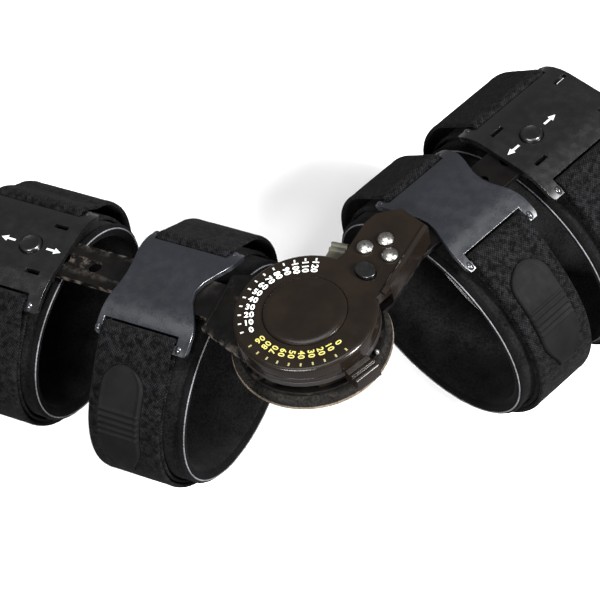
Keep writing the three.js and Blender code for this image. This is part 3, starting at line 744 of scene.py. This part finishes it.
def cushion_piping(materials):
    rings = []
    for a in steps(0, 2 * math.pi, ROUND_CUSHION)[:-1]:
        ring = []
        for b in steps(0, 2 * math.pi, CORD_SIDES)[:-1]:
            r = HINGE_PAD_R - PIPING_R / 2 + PIPING_R * math.cos(b)
            ring.append((r * math.cos(a), r * math.sin(a), PIPING_Z + PIPING_R * math.sin(b)))
        rings.append(ring)
    points, faces = loft(rings, round_trip=True)
    obj = make_piece("hinge_cushion_piping", points, faces, "upper_arm")
    finish_piece(obj, materials["tan_piping"])


def plate_lip(materials):
    """Rolled edge across the straight end of the forearm bar's plate."""
    half = LIP_W / 2
    rings = []
    for y in steps(-LIP_HALF, LIP_HALF, 24):
        fade = smooth(LIP_HALF - abs(y), 0, 2)
        rings.append([
            (PLATE_END - half + half * math.cos(a), y, BAR_TOP + 0.01 + LIP_H * fade * math.sin(a))
            for a in steps(0, math.pi, 8)
        ])
    points, faces = loft(rings)
    obj = make_piece("forearm_plate_lip", points, faces, "forearm", ARMS["forearm"][0])
    finish_piece(obj, materials["bar_paint"])


# Printing
def glyph_mesh(words):
    """Flat outline of a short number, from Blender's built-in font."""
    curve = bpy.data.curves.new("glyphs", "FONT")
    curve.body = words
    curve.size = NUMBER_H
    curve.space_character = NUMBER_SPACING
    curve.offset = NUMBER_BOLD
    curve.extrude = 0.02
    curve.resolution_u = 4
    holder = bpy.data.objects.new("glyphs", curve)
    mesh = bpy.data.meshes.new_from_object(holder)
    bpy.data.objects.remove(holder)
    bpy.data.curves.remove(curve)
    return mesh


def tick_box(turn, base):
    """Points and faces of one tick, turned to its place on the rim."""
    long, wide = TICK
    points = [tuple(turn @ Vector((TICK_R + x * long / 2, y * wide / 2, DIAL_TOP + z)))
              for x in (-1, 1) for y in (-1, 1) for z in TICK_Z]
    sides = ((0, 1, 3, 2), (4, 6, 7, 5), (0, 4, 5, 1), (2, 3, 7, 6), (1, 5, 7, 3), (0, 2, 6, 4))
    return points, [tuple(base + k for k in side) for side in sides]


def scale_print(name, scale, number_material, tick_material):
    """Numbers along the dial's rim, each reading along a radius, and a short tick outside each."""
    numbers = scale["numbers"]
    figures = ([], [])
    ticks = ([], [])
    for i, number in enumerate(numbers):
        at = scale["first"] + (scale["last"] - scale["first"]) * i / (len(numbers) - 1)
        turn = Matrix.Rotation(math.radians(at), 4, "Z")
        glyphs = glyph_mesh(str(number))
        corners = [v.co for v in glyphs.vertices]
        middle = [(min(c[k] for c in corners) + max(c[k] for c in corners)) / 2 for k in (0, 1)]
        centred = Matrix.Translation((-middle[0], -middle[1], 0))
        upright = Matrix.Rotation(math.radians(180 if 90 < at < 270 else 0), 4, "Z")
        move = turn @ Matrix.Translation((scale["radius"], 0, DIAL_TOP + 0.03)) @ upright @ centred
        base = len(figures[0])
        figures[0].extend(tuple(move @ c) for c in corners)
        figures[1].extend(tuple(base + k for k in f.vertices) for f in glyphs.polygons)
        bpy.data.meshes.remove(glyphs)
        points, faces = tick_box(turn, len(ticks[0]))
        ticks[0].extend(points)
        ticks[1].extend(faces)
    printing = (("numbers", figures, number_material), ("ticks", ticks, tick_material))
    for part, (points, faces), material in printing:
        obj = make_piece(f"{name}_{part}", points, faces, "upper_arm")
        obj.data.shade_flat()
        finish_piece(obj, material)


def arrow(station, way, materials):
    """Small printed arrow beside the push button, pointing away from it along the bar."""
    outline = [(-3.6, -0.5), (0.4, -0.5), (0.4, -1.6), (3.6, 0), (0.4, 1.6), (0.4, 0.5), (-3.6, 0.5)]
    z = CUFF_Z + CUFF_T
    rings = [[(BUTTON_AT + way * (ARROW_AT + x), y, z + h) for x, y in outline] for h in ARROW_Z]
    points, faces = loft(rings)
    name = f"{station['name']}_arrow_{'out' if way > 0 else 'in'}"
    obj = make_piece(name, points, faces, station["body"], ARMS[station["arm"]][0])
    obj.data.shade_flat()
    finish_piece(obj, materials["print_silver"])


# Stage
def camera():
    """Camera at the photograph's viewing angle and distance, with its roll and the frame's shift."""
    az, el, roll = (math.radians(a) for a in (CAMERA_AZIMUTH, CAMERA_ELEVATION, CAMERA_ROLL))
    back = Vector((math.sin(az) * math.cos(el), -math.cos(az) * math.cos(el), math.sin(el)))
    right = Vector((math.cos(az), math.sin(az), 0))
    up = back.cross(right)
    across = right * math.cos(roll) + up * math.sin(roll)
    upward = up * math.cos(roll) - right * math.sin(roll)
    data = bpy.data.cameras.new("camera")
    data.sensor_width = 36
    data.lens = CAMERA_LENS
    data.shift_x, data.shift_y = CAMERA_SHIFT
    data.clip_start = 0.05
    data.clip_end = 50
    obj = bpy.data.objects.new("camera", data)
    place = Vector((0, 0, DIAL_TOP)) * MM + back * CAMERA_DISTANCE * MM
    obj.matrix_world = Matrix.Translation(place) @ Matrix((across, upward, back)).transposed().to_4x4()
    bpy.context.scene.collection.objects.link(obj)
    bpy.context.scene.camera = obj


def floor():
    """White floor close under the brace, darker in what the brace mirrors than where the camera sees it."""
    mesh = bpy.data.meshes.new("floor")
    z = CAD_BOX[0].z - FLOOR_GAP * MM
    corners = [(x * FLOOR_HALF, y * FLOOR_HALF, z) for x, y in ((-1, -1), (1, -1), (1, 1), (-1, 1))]
    mesh.from_pydata(corners, [], [(0, 1, 2, 3)])
    obj = bpy.data.objects.new("floor", mesh)
    bpy.context.scene.collection.objects.link(obj)
    p = Paint("floor", 0.9)
    white = p.mix(p.noise(3, 2), srgb(246, 246, 246), srgb(250, 250, 250))
    seen = p.node("ShaderNodeLightPath").outputs["Is Camera Ray"]
    p.color(p.mix(seen, srgb(120, 118, 120), white))
    mesh.materials.append(p.material)


def soft_light(name, place, size, power):
    """Soft box that faces the hinge."""
    data = bpy.data.lights.new(name, "AREA")
    data.shape = "RECTANGLE"
    data.size, data.size_y = size
    data.energy = power
    obj = bpy.data.objects.new(name, data)
    obj.location = place
    obj.rotation_euler = (-Vector(place)).to_track_quat("-Z", "Y").to_euler()
    bpy.context.scene.collection.objects.link(obj)


def lights():
    """Soft boxes above, in front and at the side; none where the flat dial would mirror it."""
    world = bpy.data.worlds.new("studio")
    world.use_nodes = True
    background = world.node_tree.nodes["Background"]
    background.inputs["Color"].default_value = (1, 1, 1, 1)
    background.inputs["Strength"].default_value = WORLD_STRENGTH
    bpy.context.scene.world = world
    for name, (place, size, power) in LIGHTS.items():
        soft_light(name, place, size, power)
    bpy.context.scene.view_settings.view_transform = "Standard"


def main():
    camera()
    materials = make_materials()
    replaced = {"hinge_pad"}
    hinge_cushion(materials)
    cushion_piping(materials)
    plate_lip(materials)
    for station in STATIONS:
        lining(station, materials)
        for side in (0, 1):
            binding(station, side, materials)
        slot_ends(station, materials)
        strap(station, materials)
        thumb_tab(station, materials)
        replaced |= {f"{station['name']}_{kind}" for kind in ("pad", "strap", "tab")}
        if station["name"].endswith("outer"):
            arrow(station, 1, materials)
            arrow(station, -1, materials)
    dress_hard_nodes(materials, replaced)
    scale_print("dial_white", WHITE_SCALE, materials["print_white"], materials["tick_white"])
    scale_print("dial_yellow", YELLOW_SCALE, materials["print_yellow"], materials["tick_yellow"])
    floor()
    lights()


main()
